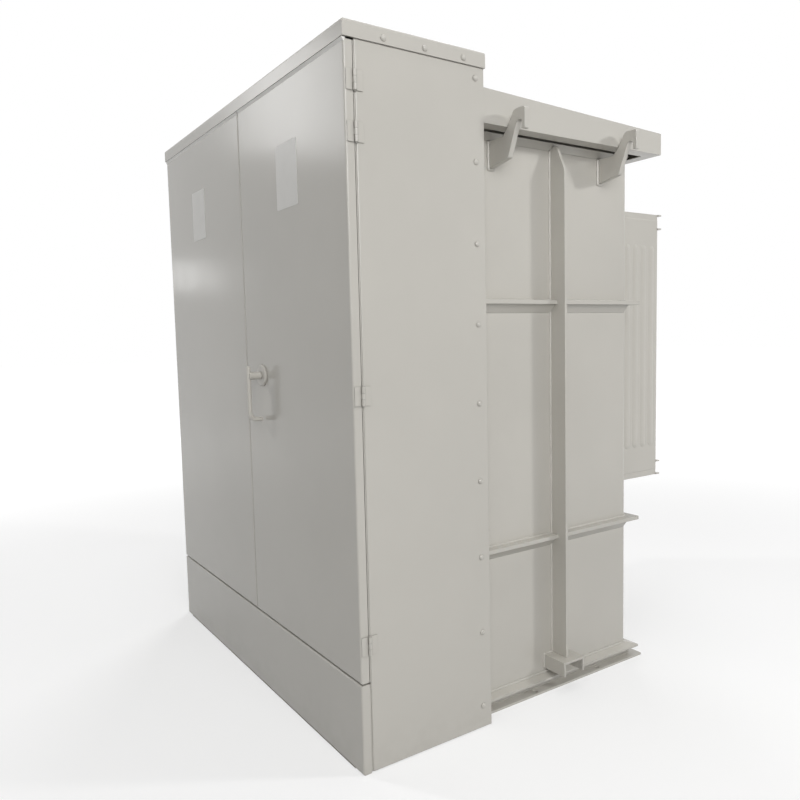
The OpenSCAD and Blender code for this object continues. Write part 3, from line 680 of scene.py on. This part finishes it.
half = FLOOR_SIZE / 2
floor_mesh = bpy.data.meshes.new("floor")
floor_corners = [(-half, -half, 0), (half, -half, 0), (half, half, 0), (-half, half, 0)]
floor_mesh.from_pydata(floor_corners, [], [(0, 1, 2, 3)])
floor_mesh.materials.append(floor_material())
floor = bpy.data.objects.new("floor", floor_mesh)
bpy.context.scene.collection.objects.link(floor)


# Light
# Wide low panels light the right side, and a small one at the rear draws the slanting shadows of bolts and
# hooks. A small one in front draws the handle's, two weak ones make the doors' sheen, and the rest fill in.

AMBIENT = 0.06
UNIT_MIDDLE, LAMP_AWAY = Vector((0.0, 0.0, 1.0)), 6.0


def soft_panel(name, azimuth, elevation, size, power, mirrored=True):
    """A square soft lamp that faces the unit from some direction, and may stay out of its reflections."""
    around, above = math.radians(azimuth), math.radians(elevation)
    level = math.cos(above)
    towards = Vector((math.cos(around) * level, math.sin(around) * level, math.sin(above)))
    lamp = bpy.data.lights.new(name, "AREA")
    lamp.size = size
    lamp.energy = power
    panel = bpy.data.objects.new(name, lamp)
    panel.location = UNIT_MIDDLE + LAMP_AWAY * towards
    panel.rotation_euler = towards.to_track_quat("Z", "Y").to_euler()
    panel.visible_camera = False
    panel.visible_glossy = mirrored
    bpy.context.scene.collection.objects.link(panel)


soft_panel("side_light", azimuth=-12.0, elevation=24.0, size=2.4, power=93.0)
soft_panel("corner_light", azimuth=-32.0, elevation=14.0, size=2.4, power=92.0)
soft_panel("rear_slant", azimuth=47.0, elevation=20.5, size=0.5, power=110.0, mirrored=False)
soft_panel("front_slant", azimuth=-138.0, elevation=33.5, size=0.35, power=68.0, mirrored=False)
soft_panel("high_front", azimuth=-60.0, elevation=48.0, size=2.0, power=31.0)
soft_panel("door_sheen", azimuth=-144.5, elevation=25.3, size=1.1, power=10.5)
soft_panel("low_sheen", azimuth=-157.0, elevation=8.2, size=0.3, power=0.75)
soft_panel("top_light", azimuth=0.0, elevation=85.0, size=3.0, power=100.0)
soft_panel("far_fill", azimuth=145.0, elevation=30.0, size=2.4, power=130.0)

world = bpy.data.worlds.new("soft studio")
bpy.context.scene.world = world
world.use_nodes = True
sky = world.node_tree
ambient = sky.nodes["Background"]
ambient.inputs["Color"].default_value = (1.0, 1.0, 1.0, 1.0)
white = math_of(sky, "MULTIPLY", seen_directly(sky), 1.0 - AMBIENT)
sky.links.new(math_of(sky, "ADD", white, AMBIENT), ambient.inputs["Strength"])


# Camera
# It stands to the right of the cabinet's near lower corner, at chest height, and looks slightly down.
# The lens is a little wide, so the near corner looms.

CAMERA_FROM_CORNER = Vector((1.6123, -0.9316, 1.1659))
CAMERA_AZIMUTH, CAMERA_ELEVATION, CAMERA_ROLL = 56.318, 4.970, -1.334
CAMERA_LENS = 32.97

azimuth, elevation, roll = (math.radians(a) for a in (CAMERA_AZIMUTH, CAMERA_ELEVATION, CAMERA_ROLL))
back = Vector((math.sin(azimuth) * math.cos(elevation), -math.cos(azimuth) * math.cos(elevation),
               math.sin(elevation)))
level_right = back.cross(Vector((0, 0, -1))).normalized()
level_up = back.cross(level_right)
right = level_right * math.cos(roll) + level_up * math.sin(roll)
up = level_up * math.cos(roll) - level_right * math.sin(roll)
corner = Vector((panel_face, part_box("door_right")[0].y, 0.0))
lens = bpy.data.cameras.new("camera")
lens.lens = CAMERA_LENS
lens.sensor_width = 36.0
camera = bpy.data.objects.new("camera", lens)
aim = Matrix((right, up, back)).transposed().to_4x4()
camera.matrix_world = Matrix.Translation(corner + CAMERA_FROM_CORNER) @ aim
bpy.context.scene.collection.objects.link(camera)
bpy.context.scene.camera = camera
bpy.context.scene.view_settings.view_transform = "Standard"
